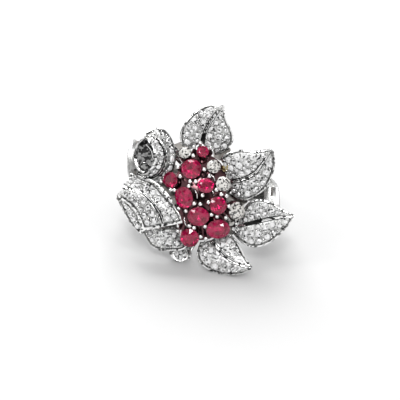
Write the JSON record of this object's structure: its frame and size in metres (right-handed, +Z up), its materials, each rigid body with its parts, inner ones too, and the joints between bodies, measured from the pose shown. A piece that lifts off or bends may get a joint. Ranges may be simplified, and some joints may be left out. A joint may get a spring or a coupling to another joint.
{
  "type": "gemstone cocktail ring",
  "caption": "White metal flower ring: a cluster of claw-set rubies and diamonds ringed by pavé diamond leaves, on a polished hoop with split shoulders.",
  "frame": {"origin": "middle of the ring's bounding box, on the surface it lies on", "axes": "+Z up, -Y towards the front, where the flower head faces, +X to the right as the head is seen"},
  "size_m": [0.028, 0.0276, 0.0238],
  "materials": {
    "polished_metal": "polished white precious metal",
    "ruby": "faceted ruby",
    "diamond": "faceted diamond"
  },
  "bodies": {
    "root": {"shank": "polished_metal", "gallery": "polished_metal", "leaf_top": "polished_metal", "leaf_upper_right": "polished_metal", "leaf_lower_right": "polished_metal", "leaf_bottom": "polished_metal", "leaf_left": "polished_metal", "leaf_lower_left": "polished_metal", "petal_small": "polished_metal", "leaf_rolled": "polished_metal", "ruby_1": "ruby", "ruby_2": "ruby", "ruby_3": "ruby", "ruby_4": "ruby", "ruby_5": "ruby", "ruby_6": "ruby", "ruby_7": "ruby", "ruby_8": "ruby", "ruby_9": "ruby", "diamond_1": "diamond", "diamond_2": "diamond", "diamond_3": "diamond", "diamond_4": "diamond", "pave_top": "diamond", "pave_upper_right": "diamond", "pave_lower_right": "diamond", "pave_bottom": "diamond", "pave_left": "diamond", "pave_lower_left": "diamond", "pave_petal": "diamond", "pave_rolled": "diamond"}
  },
  "joints": []
}
